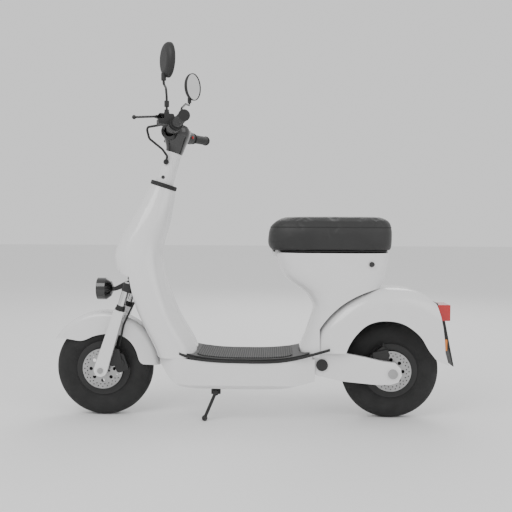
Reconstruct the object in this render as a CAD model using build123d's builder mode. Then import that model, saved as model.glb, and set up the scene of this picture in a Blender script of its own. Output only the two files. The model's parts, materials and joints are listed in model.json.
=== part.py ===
from build123d import *
import os
from math import cos, hypot, pi, radians, sin

# A small electric moped scooter. Lengths are millimetres, +Z is up, +X runs to the rear,
# -Y is the rider's left. The origin is on the ground under the middle of the scooter.
os.makedirs("parts", exist_ok=True)

# overall sizes
wheelbase = 1053.0
tyre_radius = 177.5
tail_overhang = 228.0          # rear axle to the end of the plate holder
seat_height = 734.0
rake = 17.5                    # steering axis, degrees from the vertical
shell_wall = 3.0

# heights below are those above the ground with this axle height, and rise with the tyre
drawn_axle_height = 177.5
lift = tyre_radius - drawn_axle_height
front_axle_x = (tyre_radius - wheelbase - tail_overhang) / 2
rear_axle_x = front_axle_x + wheelbase

# wheels and brakes
tyre_half_width = 40.0
tyre_flat = 12.0               # half width of the flat running band
rim_lip_radius = 98.5
bead_radius = 88.0
rim_half_width = 36.5
dish_radius = 75.0
axle_radius = 6.0
running_gap = 0.05             # radial gap of a shaft that turns or slides in its hole
side_gap = 0.3                 # gap between faces of pieces that move past each other
disc_radius = 74.0
disc_thickness = 3.0
disc_face = 47.0               # distance of the disc's inner face from the mid plane
hub_radius = 32.0

# fork and steering
stanchion_radius = 13.0
stanchion_spread = 72.0
fork_travel = 28.0
fork_offset = -6.0
leg_inner = 57.0
leg_outer = 87.0
leg_top = 227.0                # distances along the steering axis from the axle's level
crown_low = 300.0
crown_high = 330.0
stem_radius = 14.0
head_tube_radius = 26.0
bearing_radius = 20.0
head_tube_low = 336.0
head_tube_high = 690.0
bearing_height = 14.0
gasket_low = 698.0
gasket_height = 16.0
column_seam = 831.0
bar_radius = 11.0
bar_forward = -28.2
bar_height = 897.5
bar_straight = 70.0
bar_sweep = 89.0
bar_reach = 265.0
bar_rise = 13.0
bar_length = hypot(bar_sweep, bar_reach, bar_rise)
grip_radius = 17.0
grip_start = 150.0
grip_length = 128.0

# rear suspension, from the rear axle
pivot_back = -253.0
pivot_height = 208.0
pivot_bolt_radius = 8.0
arm_inner = 74.0
arm_outer = 94.0
cap_thickness = 6.0

stand_x = 418.0
stand_pivot_height = 101.0
stand_bolt_radius = 5.0
shock_spread = 86.0

# body
deck_half_width = 120.0
belly_half_width = 125.0
mat_half_width = 103.0
fender_crown = 306.0           # rear fender, radius over the rear axle
fender_half_width = 112.0
fender_front = -262.0          # its hidden front edge, from the rear axle
tower_top = seat_height - 126.0
tower_start = wheelbase + pivot_back - 67


def at(x, y, z):
    # a place measured back from the front axle and up from the ground
    return (front_axle_x + x, y, lift + z)


def behind(x, y, z):
    # a place measured back from the rear axle and up from the ground
    return (rear_axle_x + x, y, lift + z)


side = Plane(origin=at(0, 0, 0), x_dir=(1, 0, 0), z_dir=(0, -1, 0))
rear_side = Plane(origin=behind(0, 0, 0), x_dir=(1, 0, 0), z_dir=(0, -1, 0))
steer_dir = Vector(sin(radians(rake)), 0, cos(radians(rake)))
steer_x = Vector(cos(radians(rake)), 0, -sin(radians(rake)))
steer_origin = Vector(*at(6, 0, drawn_axle_height))
front_axle = at(0, 0, drawn_axle_height)
rear_axle_at = behind(0, 0, drawn_axle_height)
pivot_at = behind(pivot_back, 0, pivot_height)


def steer(distance):
    # a plane square to the steering axis, at this distance along it
    return Plane(origin=steer_origin + steer_dir * distance, x_dir=steer_x, z_dir=steer_dir)


def on_steer(forward, y, distance):
    # a place in the steering's own frame
    return steer_origin + steer_x * forward + steer_dir * distance + Vector(0, y, 0)


def rod(start, end, radius, mode=Mode.ADD):
    # a round bar between two places
    start = Vector(start)
    run = Vector(end) - start
    with BuildSketch(Plane(origin=start, z_dir=run)) as end_face:
        Circle(radius)
    extrude(end_face.sketch, amount=run.length, mode=mode)


def pipe(points, radius, bends):
    # a round bar along straight runs and tangent arcs
    with BuildLine() as route:
        FilletPolyline(*points, radius=bends)
    with BuildSketch(Plane(origin=points[0], z_dir=Vector(points[1]) - Vector(points[0]))) as end_face:
        Circle(radius)
    sweep(end_face.sketch, path=route.line)


def oval(front, rear, half_width, power=3.0, mode=Mode.ADD):
    # a rounded closed outline between two ends, fuller with a higher power
    middle = (front + rear) / 2
    half_length = (rear - front) / 2
    points = []
    for step in range(16):
        angle = 2 * pi * step / 16
        across, along = sin(angle), cos(angle)
        across = abs(across) ** (2 / power) * (1 if across >= 0 else -1)
        along = abs(along) ** (2 / power) * (1 if along >= 0 else -1)
        points.append((middle + half_length * along, half_width * across))
    with BuildLine() as outline:
        Spline(*points, periodic=True)
    make_face(outline.line, mode=mode)


def ring(centre, inner, outer, y_low, y_high, mode=Mode.ADD):
    # a washer or tube about an axis along Y
    with BuildSketch(Plane(origin=(centre[0], y_low, centre[2]), z_dir=(0, 1, 0))) as end_face:
        Circle(outer)
        if inner > 0:
            Circle(inner, mode=Mode.SUBTRACT)
    extrude(end_face.sketch, amount=y_high - y_low, mode=mode)


def block(centre, size, mode=Mode.ADD):
    with Locations(centre):
        Box(*size, mode=mode)


# ---------------------------------------------------------------- wheels
def rim_barrel():
    with BuildLine() as section:
        Polyline(
            (dish_radius, rim_half_width),
            (rim_lip_radius, rim_half_width),
            (rim_lip_radius, rim_half_width - 3.5),
            (bead_radius, rim_half_width - 3.5),
            (bead_radius, 20),
            (bead_radius - 8, 14),
            (bead_radius - 8, -14),
            (bead_radius, -20),
            (bead_radius, -rim_half_width + 3.5),
            (rim_lip_radius, -rim_half_width + 3.5),
            (rim_lip_radius, -rim_half_width),
            (dish_radius, -rim_half_width),
            close=True,
        )
    make_face(section.line)


def tyre_section():
    # beads on the rim, a bulging side wall and a nearly flat tread band
    wall = 9.0
    bead_y = rim_half_width - 3.5
    with BuildLine() as section:
        for hand in (1, -1):
            Line((bead_radius, hand * (bead_y - 10)), (bead_radius, hand * bead_y))
            Line((bead_radius, hand * bead_y), (rim_lip_radius + 2, hand * bead_y))
            ThreePointArc(
                (rim_lip_radius + 2, hand * bead_y),
                (rim_lip_radius + 34, hand * tyre_half_width),
                (tyre_radius - 14, hand * (tyre_half_width - 9)),
            )
            ThreePointArc(
                (tyre_radius - 14, hand * (tyre_half_width - 9)),
                (tyre_radius - 4, hand * (tyre_flat + 9)),
                (tyre_radius, hand * tyre_flat),
            )
            Line((bead_radius, hand * (bead_y - 10)), (rim_lip_radius + 2, hand * (bead_y - 8)))
            ThreePointArc(
                (rim_lip_radius + 2, hand * (bead_y - 8)),
                (rim_lip_radius + 30, hand * (tyre_half_width - wall)),
                (tyre_radius - wall - 14, hand * 18),
            )
        Line((tyre_radius, tyre_flat), (tyre_radius, -tyre_flat))
        ThreePointArc((tyre_radius - wall - 14, 18), (tyre_radius - wall - 6, 0), (tyre_radius - wall - 14, -18))
    make_face(section.line)


def brake_disc(centre):
    ring(centre, 20, disc_radius, -disc_face - disc_thickness, -disc_face)
    face = Plane(origin=(centre[0], -disc_face, centre[2]), z_dir=(0, -1, 0))
    with BuildSketch(face) as holes:
        with PolarLocations(disc_radius - 8, 24):
            Circle(2.3)
        with PolarLocations(disc_radius - 17, 24, start_angle=7.5):
            Circle(2.3)
        with PolarLocations(43, 8):
            Circle(6.5)
        with PolarLocations(26, 5):
            Circle(3.2)
    extrude(holes.sketch, amount=disc_thickness, mode=Mode.SUBTRACT)


def wheel_plane(centre):
    return Plane(origin=centre, x_dir=(1, 0, 0), z_dir=(0, 0, 1))


for name, centre in (("front", front_axle), ("rear", rear_axle_at)):
    with BuildPart() as rim:
        with BuildSketch(wheel_plane(centre)):
            rim_barrel()
        revolve(axis=Axis(centre, (0, 1, 0)))
        if name == "front":
            ring(centre, 0, dish_radius + 1, -5, 5)
            with BuildSketch(Plane(origin=(centre[0], 5, centre[2]), z_dir=(0, -1, 0))):
                with PolarLocations(50, 6):
                    Circle(13)
            extrude(amount=10, mode=Mode.SUBTRACT)
            ring(centre, 0, hub_radius, -disc_face, disc_face - 2)
        else:
            # the hub motor's drum, hollow for its windings
            ring(centre, 0, dish_radius + 1, -28, 28)
            ring(centre, 0, 70, -24, 24, mode=Mode.SUBTRACT)
            ring(centre, 0, hub_radius, -disc_face, -24)
            ring(centre, 0, hub_radius - 4, 24, disc_face - 2)
        ring(centre, 0, axle_radius + running_gap, -60, 60, mode=Mode.SUBTRACT)
    rim.part.label = f"{name}_rim"
    export_step(rim.part, f"parts/{name}_rim.step")

    with BuildPart() as tyre:
        with BuildSketch(wheel_plane(centre)):
            tyre_section()
        revolve(axis=Axis(centre, (0, 1, 0)))
    tyre.part.label = f"{name}_tyre"
    export_step(tyre.part, f"parts/{name}_tyre.step")

    with BuildPart() as disc:
        brake_disc(centre)
    disc.part.label = f"{name}_brake_disc"
    export_step(disc.part, f"parts/{name}_brake_disc.step")

# ---------------------------------------------------------------- front axle, fork legs
leg_face = leg_outer - 18      # inner face of the thinner lower leg
with BuildPart() as axle:
    ring(front_axle, 0, axle_radius, -leg_outer - 3, leg_outer + 3)
    for hand in (-1, 1):
        edges = sorted((hand * (leg_outer), hand * (leg_outer + 4)))
        ring(front_axle, 0, 10.5, edges[0], edges[1])
        hub_end = disc_face + disc_thickness if hand < 0 else disc_face - 2
        edges = sorted((hand * (hub_end + side_gap), hand * leg_face))
        ring(front_axle, 0, 10, edges[0], edges[1])
axle.part.label = "front_axle"
export_step(axle.part, "parts/front_axle.step")

with BuildPart() as fork_legs:
    for hand in (-1, 1):
        inner = min(hand * leg_inner, hand * leg_outer)
        with BuildSketch(Plane(origin=on_steer(0, inner, 0), x_dir=steer_x, z_dir=(0, 1, 0))):
            with BuildLine():
                Polyline(
                    (fork_offset - 24, 0),
                    (fork_offset - 18, -leg_top),
                    (fork_offset + 18, -leg_top),
                    (fork_offset + 24, 0),
                    close=True,
                )
            make_face()
            with Locations((fork_offset, 0)):
                Circle(24)
        extrude(amount=leg_outer - leg_inner)
    # room for the disc and the calliper inside the lower legs
    ring(front_axle, 0, disc_radius + 26, -leg_face, leg_face, mode=Mode.SUBTRACT)
    ring(front_axle, 0, axle_radius, -leg_outer, leg_outer, mode=Mode.SUBTRACT)
    for hand in (-1, 1):
        y = hand * stanchion_spread
        rod(
            on_steer(fork_offset, y, 104),
            on_steer(fork_offset, y, leg_top + 20),
            stanchion_radius + running_gap,
            mode=Mode.SUBTRACT,
        )
fork_legs.part.label = "fork_legs"
export_step(fork_legs.part, "parts/fork_legs.step")

with BuildPart() as dust_caps:
    for hand in (-1, 1):
        cap = on_steer(fork_offset, hand * stanchion_spread, leg_top)
        rod(cap, cap + steer_dir * 7, 18)
        rod(cap + steer_dir * 7, cap + steer_dir * 18, 16)
        rod(cap - steer_dir, cap + steer_dir * 19, stanchion_radius + running_gap, mode=Mode.SUBTRACT)
dust_caps.part.label = "dust_caps"
export_step(dust_caps.part, "parts/dust_caps.step")
# ---------------------------------------------------------------- front fender and calliper
fender_radius = tyre_radius + 32
fender_half = 46.0
with BuildPart() as front_fender:
    with BuildSketch(wheel_plane(front_axle)) as section:
        with Locations((fender_radius - 55, 0)):
            Rectangle(110, 2 * fender_half)
        fillet(section.vertices().sort_by(Axis.X)[-2:], 24)
    revolve(axis=Axis(front_axle, (0, 1, 0)))
    with BuildSketch(wheel_plane(front_axle)) as section:
        with Locations((fender_radius - shell_wall - 60, 0)):
            Rectangle(120, 2 * (fender_half - shell_wall))
        fillet(section.vertices().sort_by(Axis.X)[-2:], 21)
    revolve(axis=Axis(front_axle, (0, 1, 0)), mode=Mode.SUBTRACT)
    # the outline seen from the side: a pointed tip in front, a squared tail behind
    with BuildSketch(side):
        with BuildLine():
            Polyline((-tyre_radius - 3, 283), (-tyre_radius - 60, 300), (-150, 440), (60, 460), (240, 330), (240, 190),
                     (148, 194))
            Spline((148, 194), (134, 207), (126, 232), (114, 259), (91, 286), (50, 304), (-5, 303), (-40, 294),
                   (-75, 280), (-115, 283), (-tyre_radius - 3, 283))
        make_face()
    extrude(amount=80, both=True, mode=Mode.INTERSECT)
    # two stubs each side carry it on the legs
    for hand in (-1, 1):
        for distance in (150, 190):
            rod(
                on_steer(fork_offset, hand * (fender_half - 1), distance),
                on_steer(fork_offset, hand * leg_inner, distance),
                6,
            )
front_fender.part.label = "front_fender"
export_step(front_fender.part, "parts/front_fender.step")


def brake_caliper(centre, angle):
    # a body that straddles the disc, turned about the axle, with a plate to its carrier
    slot_low = -disc_face - disc_thickness - 1.5
    slot_high = -disc_face + 1.5
    body = Vector(cos(radians(angle)), 0, sin(radians(angle)))
    around = Vector(-sin(radians(angle)), 0, cos(radians(angle)))
    middle = Vector(centre) + body * (disc_radius - 2)
    frame = Plane(origin=middle + Vector(0, -disc_face + 9, 0), x_dir=around, z_dir=(0, -1, 0))
    with BuildSketch(frame) as outline:
        RectangleRounded(66, 46, 12)
    extrude(outline.sketch, amount=27)
    with BuildSketch(frame.offset(18)) as outline:
        Circle(15)
    extrude(outline.sketch, amount=12)
    ring(centre, 0, disc_radius + 3, slot_low, slot_high, mode=Mode.SUBTRACT)


with BuildPart() as front_caliper:
    brake_caliper(front_axle, 20)
    # carrier plate against the inside of the leg
    with BuildSketch(Plane(origin=at(0, -leg_face, 0), x_dir=(1, 0, 0), z_dir=(0, 1, 0))):
        with BuildLine():
            Polyline((2, -206), (24, -262), (66, -252), (76, -200), (40, -190), close=True)
        make_face()
    extrude(amount=5)
    # the hose runs up behind the leg and into the front body
    pipe(
        [at(62, -51.5, 262), at(78, -51.5, 340), at(104, -51.5, 396), at(128, -58, 440), at(140, -60, 486)],
        3.5,
        [60, 90, 60],
    )
front_caliper.part.label = "front_caliper"
export_step(front_caliper.part, "parts/front_caliper.step")

# ---------------------------------------------------------------- steering stem, crown, stanchions
lamp_pivot = at(38, 0, 468)
with BuildPart() as steering_stem:
    rod(on_steer(0, 0, crown_low), on_steer(0, 0, 876), stem_radius)
    with BuildSketch(steer(crown_low)):
        with Locations((0, 0)):
            RectangleRounded(44, 2 * (stanchion_spread + 17), 20)
    extrude(amount=crown_high - crown_low)
    # clamp for the handlebar
    with BuildSketch(steer(874)):
        with Locations((bar_forward / 2, 0)):
            RectangleRounded(56, 36, 8)
    extrude(amount=40)
    bar_mid = on_steer(bar_forward, 0, bar_height)
    rod(bar_mid - Vector(0, 60, 0), bar_mid + Vector(0, 60, 0), bar_radius, mode=Mode.SUBTRACT)
    rod(on_steer(0, 0, crown_low - 1), on_steer(0, 0, 850), stem_radius - 4, mode=Mode.SUBTRACT)
    for hand in (-1, 1):
        rod(
            on_steer(fork_offset, hand * stanchion_spread, crown_low - 1),
            on_steer(fork_offset, hand * stanchion_spread, crown_high + 1),
            stanchion_radius,
            mode=Mode.SUBTRACT,
        )
    # fork of the headlight bracket
    for hand in (-1, 1):
        with BuildSketch(side.offset(hand * 9.3 - 3)):
            with BuildLine():
                Polyline((34, 462), (34, 474), (76, 496), (84, 476), (44, 462), close=True)
            make_face()
        extrude(amount=6)
    rod(Vector(lamp_pivot) - Vector(0, 12, 0), Vector(lamp_pivot) + Vector(0, 12, 0), 4)
steering_stem.part.label = "steering_stem"
export_step(steering_stem.part, "parts/steering_stem.step")

with BuildPart() as stanchions:
    for hand in (-1, 1):
        y = hand * stanchion_spread
        rod(on_steer(fork_offset, y, 140), on_steer(fork_offset, y, crown_high + 6), stanchion_radius)
stanchions.part.label = "fork_stanchions"
export_step(stanchions.part, "parts/fork_stanchions.step")

with BuildPart() as bearings:
    for low in (head_tube_low, head_tube_high - bearing_height):
        with BuildSketch(steer(low)):
            Circle(bearing_radius)
            Circle(stem_radius + running_gap, mode=Mode.SUBTRACT)
        extrude(amount=bearing_height)
bearings.part.label = "head_bearings"
export_step(bearings.part, "parts/head_bearings.step")

# ---------------------------------------------------------------- headlight
with BuildPart() as lamp_shell:
    with BuildSketch(side):
        with BuildLine():
            Polyline((-27, 468), (-27, 509), (5, 509), (22, 496), (28, 482), (28, 468), close=True)
        make_face()
    revolve(axis=Axis(at(0, 0, 468), (1, 0, 0)))
    with BuildSketch(side):
        with BuildLine():
            Polyline((-28, 468), (-28, 505), (3, 505), (18, 494), (24, 481), (24, 468), close=True)
        make_face()
    revolve(axis=Axis(at(0, 0, 468), (1, 0, 0)), mode=Mode.SUBTRACT)
    with BuildSketch(side.offset(6)):
        with BuildLine():
            Polyline((25, 460), (25, 476), (38, 476), (44, 468), (38, 460), close=True)
        make_face()
    extrude(amount=-12)
    rod(Vector(lamp_pivot) - Vector(0, 13, 0), Vector(lamp_pivot) + Vector(0, 13, 0), 4 + running_gap,
        mode=Mode.SUBTRACT)
lamp_shell.part.label = "headlight_shell"
export_step(lamp_shell.part, "parts/headlight_shell.step")

with BuildPart() as lamp_lens:
    with BuildSketch(side):
        with BuildLine():
            Polyline((-22, 468), (-22, 505), (-26, 505), (-29.5, 494), (-31.4, 482), (-32, 468), close=True)
        make_face()
    revolve(axis=Axis(at(0, 0, 468), (1, 0, 0)))
lamp_lens.part.label = "headlight_lens"
export_step(lamp_lens.part, "parts/headlight_lens.step")

# ---------------------------------------------------------------- column and handlebar covers
with BuildPart() as column_cover:
    for inset, mode in ((0, Mode.ADD), (2.5, Mode.SUBTRACT)):
        for distance, radius in ((gasket_low + gasket_height + side_gap, 34), (775, 31), (column_seam, 31)):
            with BuildSketch(steer(distance)):
                Circle(radius - inset)
        loft(mode=mode)
    switch_at = on_steer(-6, 0, 734)
    rod(switch_at, switch_at + Vector(0, -60, 0), 6.5 + running_gap, mode=Mode.SUBTRACT)
    hose_hole = on_steer(-12, 0, 790)
    rod(hose_hole, hose_hole + Vector(0, -60, 0), 7.2, mode=Mode.SUBTRACT)
column_cover.part.label = "column_cover"
export_step(column_cover.part, "parts/column_cover.step")

with BuildPart() as bar_cover:
    for inset, mode in ((0, Mode.ADD), (2.5, Mode.SUBTRACT)):
        for distance, front, rear, half in (
            (column_seam + side_gap, -31, 31, 31),
            (862, -44, 34, 37),
            (888, -58, 37, 44),
            (912, -60, 38, 47),
            (930 - inset, -52, 32, 42),
        ):
            with BuildSketch(steer(distance)):
                oval(front + inset, rear - inset, half - inset, power=2.4)
        loft(mode=mode)
        if inset == 0:
            # round bosses where the handlebar comes out
            bar_middle = on_steer(bar_forward, 0, bar_height)
            rod(bar_middle - Vector(0, 62, 0), bar_middle + Vector(0, 62, 0), 30)
    rod(bar_middle - Vector(0, 70, 0), bar_middle + Vector(0, 70, 0), 19, mode=Mode.SUBTRACT)
bar_cover.part.label = "handlebar_cover"
export_step(bar_cover.part, "parts/handlebar_cover.step")

with BuildPart() as display:
    with BuildSketch(steer(930)):
        with Locations((-8, 0)):
            Ellipse(30, 32)
    extrude(amount=7)
    fillet(display.edges().filter_by(GeomType.ELLIPSE).sort_by(SortBy.LENGTH)[-1:], 2)
display.part.label = "display"
export_step(display.part, "parts/display.step")

with BuildPart() as ignition:
    start = switch_at + Vector(0, -22, 0)
    rod(start, start + Vector(0, -11.5, 0), 6.5)
    block(start + Vector(0, -11.5, 0), (1.6, 2.4, 7), mode=Mode.SUBTRACT)
ignition.part.label = "ignition_switch"
export_step(ignition.part, "parts/ignition_switch.step")

# ---------------------------------------------------------------- handlebar and its controls
def bar_place(hand, along, forward=0, up=0):
    # a place beside one end of the handlebar, measured out along it from the bend
    out = Vector(bar_sweep, hand * bar_reach, bar_rise) / bar_length
    ahead = Vector(-1, 0, 0) + out * out.X
    ahead = ahead / ahead.length
    high = Vector(0, 0, 1) - out * out.Z
    high = high / high.length
    bend = on_steer(bar_forward, hand * bar_straight, bar_height)
    return bend + out * along + ahead * forward + high * up


def bar_plane(hand, along, forward=0, up=0):
    # square to the bar, first direction ahead, second direction up or down
    out = Vector(bar_sweep, hand * bar_reach, bar_rise) / bar_length
    ahead = Vector(-1, 0, 0) + out * out.X
    return Plane(origin=bar_place(hand, along, forward, up), x_dir=ahead, z_dir=out)


with BuildPart() as handlebar:
    pipe(
        [
            bar_place(-1, bar_length),
            on_steer(bar_forward, -bar_straight, bar_height),
            on_steer(bar_forward, bar_straight, bar_height),
            bar_place(1, bar_length),
        ],
        bar_radius,
        40,
    )
handlebar.part.label = "handlebar"
export_step(handlebar.part, "parts/handlebar.step")

pod_start = 78.0
pod_end = 132.0
for hand, name in ((-1, "left_grip"), (1, "throttle_grip")):
    with BuildPart() as grip:
        start = bar_place(hand, grip_start)
        end = bar_place(hand, grip_start + grip_length)
        over = bar_place(hand, grip_start + grip_length + 4)
        rod(start, bar_place(hand, grip_start + 5), grip_radius + 5)
        rod(start, end, grip_radius)
        rod(end, over, grip_radius + 2)
        gap = running_gap if hand > 0 else 0
        rod(bar_place(hand, grip_start - 1), bar_place(hand, bar_length + side_gap), bar_radius + gap,
            mode=Mode.SUBTRACT)
    grip.part.label = name
    export_step(grip.part, f"parts/{name}.step")

perch_forward, perch_up = 46.0, 25.0
boss_forward = 27.0             # the mirror's boss, behind the lever
with BuildPart() as bar_controls:
    for hand in (-1, 1):
        rod(bar_place(hand, pod_start), bar_place(hand, pod_end), 24)
        # a squared front that carries the lever and the mirror
        with BuildSketch(bar_plane(hand, pod_start)):
            with Locations((30, hand * 18)):
                RectangleRounded(54, 36, 6)
        extrude(amount=44)
        # slot for the lever
        with BuildSketch(bar_plane(hand, pod_start - 1)):
            with Locations((52.5, hand * perch_up)):
                Rectangle(30, 13)
        extrude(amount=50, mode=Mode.SUBTRACT)
        low = bar_place(hand, pod_start + 14, perch_forward, perch_up - 8)
        high = bar_place(hand, pod_start + 14, perch_forward, perch_up + 9)
        rod(low, high, 3)
        # mirror boss
        rod(bar_place(hand, pod_start + 34, boss_forward, 24), bar_place(hand, pod_start + 34, boss_forward, 42), 9)
        rod(bar_place(hand, pod_start - 1), bar_place(hand, pod_end + 1), bar_radius, mode=Mode.SUBTRACT)
        # seats of the push buttons, on the rider's side of the pod
        for along, up in (((pod_start + 18, 0), (pod_start + 38, 0)) if hand < 0 else ((pod_start + 27, 0),)):
            seat = bar_place(hand, along, -14, up)
            face = bar_place(hand, along, -30, up)
            rod(seat, face, 5.5, mode=Mode.SUBTRACT)
bar_controls.part.label = "bar_controls"
export_step(bar_controls.part, "parts/bar_controls.step")

for name, hand, along in (
    ("horn_button", -1, pod_start + 18),
    ("indicator_switch", -1, pod_start + 38),
    ("start_button", 1, pod_start + 27),
):
    with BuildPart() as button:
        rod(bar_place(hand, along, -17), bar_place(hand, along, -27), 5.2)
    button.part.label = name
    export_step(button.part, f"parts/{name}.step")

for hand, name in ((-1, "left_brake_lever"), (1, "right_brake_lever")):
    with BuildPart() as lever:
        pivot = bar_place(hand, pod_start + 14, perch_forward, perch_up)
        tip = pivot + Vector(-60, hand * 146, -20)
        high = bar_place(hand, 0, 0, 1) - bar_place(hand, 0, 0, 0)
        along = tip - pivot
        along = along - high * along.dot(high)
        along = along / along.length
        with BuildSketch(Plane(origin=pivot - high * 4, x_dir=along, z_dir=high)):
            Circle(8)
            with Locations((16, 0)):
                Rectangle(32, 12)
        extrude(amount=8)
        with BuildSketch(Plane(origin=pivot + along * 28, x_dir=high, z_dir=along)):
            Ellipse(4, 6)
        with BuildSketch(Plane(origin=tip, x_dir=high, z_dir=along)):
            Ellipse(4, 5)
        loft()
        with Locations(tip):
            Sphere(7)
        rod(pivot - high * 6, pivot + high * 6, 3 + running_gap, mode=Mode.SUBTRACT)
    lever.part.label = name
    export_step(lever.part, f"parts/{name}.step")

# ---------------------------------------------------------------- mirrors
mirror_high = {-1: 0.0, 1: 45.0}   # the right mirror is set a little higher
mirror_foot = {}
with BuildPart() as mirror_stems:
    for hand in (-1, 1):
        base = bar_place(hand, pod_start + 34, boss_forward, 42)
        up = Vector(0, 0, 1)
        foot = Vector(*at(272, hand * 330, 1164 + mirror_high[hand]))
        mirror_foot[hand] = foot
        rod(base + up * 0.7, base + up * 8, 8)
        with BuildSketch(Plane(origin=base + up * 18, z_dir=(0, 0, 1))):
            RegularPolygon(8.5, 6)
        extrude(amount=20)
        knee = base + up * (52 + mirror_high[hand] / 2)
        pipe(
            [
                base + up * 2,
                knee,
                Vector(knee.X + 8, hand * 250, (knee.Z + foot.Z) / 2 + 6),
                Vector(foot.X, foot.Y, foot.Z - 8),
                foot + up * 18,
            ],
            4,
            [16, 40, 10],
        )
mirror_stems.part.label = "mirror_stems"
export_step(mirror_stems.part, "parts/mirror_stems.step")

for hand, name in ((-1, "left"), (1, "right")):
    centre = mirror_foot[hand] + Vector(12, 0, 67)
    facing = Vector(cos(radians(30)), -hand * sin(radians(30)), 0)
    across = Vector(sin(radians(30)) * hand, cos(radians(30)), 0)

    def mirror_plane(depth):
        return Plane(origin=centre + facing * depth, x_dir=across, z_dir=facing)

    with BuildPart() as shell:
        with BuildSketch(mirror_plane(8)):
            Ellipse(49, 55.5)
        with BuildSketch(mirror_plane(-2)):
            Ellipse(48, 54.5)
        with BuildSketch(mirror_plane(-14)):
            Ellipse(30, 36)
        loft()
        socket = mirror_foot[hand]
        rod(socket + Vector(0, 0, 2), socket + Vector(0, 0, 24), 8)
        with BuildSketch(mirror_plane(3)):
            Ellipse(46, 52.5)
        extrude(amount=8, mode=Mode.SUBTRACT)
        rod(socket - Vector(0, 0, 3), socket + Vector(0, 0, 18 + side_gap), 4 + running_gap, mode=Mode.SUBTRACT)
    shell.part.label = f"{name}_mirror_shell"
    export_step(shell.part, f"parts/{name}_mirror_shell.step")
    with BuildPart() as glass:
        with BuildSketch(mirror_plane(3)):
            Ellipse(45.8, 52.3)
        extrude(amount=3)
    glass.part.label = f"{name}_mirror_glass"
    export_step(glass.part, f"parts/{name}_mirror_glass.step")

# ---------------------------------------------------------------- brake hoses
hose_radius = 4.0
grommet_face = hose_hole + Vector(0, -31, 0)
with BuildPart() as brake_hoses:
    start = bar_place(-1, pod_start, 40, 8)
    pipe(
        [
            start,
            bar_place(-1, pod_start - 22, 40, 8),
            at(170, -84, 1052),
            at(178, -72, 1014),
            at(222, -52, 978),
            at(238, -42, 954),
            grommet_face + Vector(0, -2, 0.5),
        ],
        hose_radius,
        [16, 16, 20, 16, 10],
    )
    rod(grommet_face, grommet_face + Vector(0, -5, 0), 9.5)
    rod(grommet_face + Vector(0, 10, 0), grommet_face, 7)
brake_hoses.part.label = "brake_hoses"
export_step(brake_hoses.part, "parts/brake_hoses.step")

# ---------------------------------------------------------------- deck edge strips
belly_end = wheelbase + pivot_back - 26
deck_end = wheelbase + pivot_back - 66


def strip_line(drop):
    # the gently sagging line of the deck's edge
    return (
        (292, 251 - drop),
        (340, 235 - drop),
        (430, 224 - drop),
        (520, 222 - drop),
        (deck_end - 58, 229 - drop),
        (deck_end + 20, 247 - drop),
        (belly_end + 52, 268 - drop),
    )


strip_half = 5.0
with BuildPart() as deck_trim:
    with BuildSketch(side):
        with BuildLine():
            low = strip_line(strip_half - side_gap)
            high = strip_line(-strip_half + 1)
            Spline(*low)
            Line(low[-1], high[-1])
            Spline(*high[::-1])
            Line(high[0], low[0])
        make_face()
    extrude(amount=belly_half_width + 3, both=True)
    with BuildSketch(side):
        with Locations(((belly_end + 292) / 2, 240)):
            Rectangle(belly_end + 150, 100)
    extrude(amount=deck_half_width + side_gap, both=True, mode=Mode.SUBTRACT)
deck_trim.part.label = "deck_trim"
export_step(deck_trim.part, "parts/deck_trim.step")

# ---------------------------------------------------------------- front body
# height, front edge, rear edge and half width of the front body at each level
neck_levels = (
    (232, 205, 345, 128, 3.4),
    (292, 179, 322, 127, 3.4),
    (355, 147, 284, 124, 3.4),
    (418, 118, 256, 117, 3.2),
    (485, 84, 234, 108, 3.0),
    (555, 46, 216, 98, 2.7),
    (607, 43, 213, 89, 2.5),
    (664, 63, 226, 79, 2.3),
    (731, 102, 245, 67, 2.2),
    (787, 134, 256, 56, 2.1),
)
with BuildPart() as neck:
    for inset, mode in ((0, Mode.ADD), (shell_wall, Mode.SUBTRACT)):
        for height, front, rear, half, power in neck_levels:
            with BuildSketch(Plane(origin=at(0, 0, height))):
                oval(front + inset, rear - inset, half - inset, power)
        with BuildSketch(steer(gasket_low)):
            oval(-46 + inset, 46 - inset, 46 - inset, 2.0)
        loft(mode=mode)

with BuildPart() as wheel_well:
    # the space that the fork, the wheel and the front fender turn and rise in
    with BuildSketch(steer(-90)):
        with Locations((20, 0)):
            Rectangle(380, 164)
    extrude(amount=crown_high + 118)
    ring(front_axle, 0, fender_radius + fork_travel + 9, -90, 90, mode=Mode.INTERSECT)
    rod(on_steer(0, 0, -90), on_steer(0, 0, crown_high + 28), 100)


def crease():
    # outline of the leg shield seen from the side, back to its crease with the knee panel
    with BuildLine() as outline:
        Polyline((-20, 232), (262, 232), (246, 292), (204, 355), (172, 418), (140, 485), (112, 555), (104, 607),
                 (118, 664), (146, 731), (170, 787), (204, 870), (100, 900), (-60, 700), close=True)
    make_face(outline.line)


with BuildPart() as leg_shield:
    add(neck.part)
    with BuildSketch(side):
        crease()
    extrude(amount=200, both=True, mode=Mode.INTERSECT)
    add(wheel_well.part, mode=Mode.SUBTRACT)
    add(deck_trim.part, mode=Mode.SUBTRACT)
leg_shield.part.label = "leg_shield"
export_step(leg_shield.part, "parts/leg_shield.step")

with BuildPart() as knee_panel:
    add(neck.part)
    with BuildSketch(side):
        crease()
    extrude(amount=200, both=True, mode=Mode.SUBTRACT)
    add(wheel_well.part, mode=Mode.SUBTRACT)
    add(deck_trim.part, mode=Mode.SUBTRACT)
knee_panel.part.label = "knee_panel"
export_step(knee_panel.part, "parts/knee_panel.step")

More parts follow.
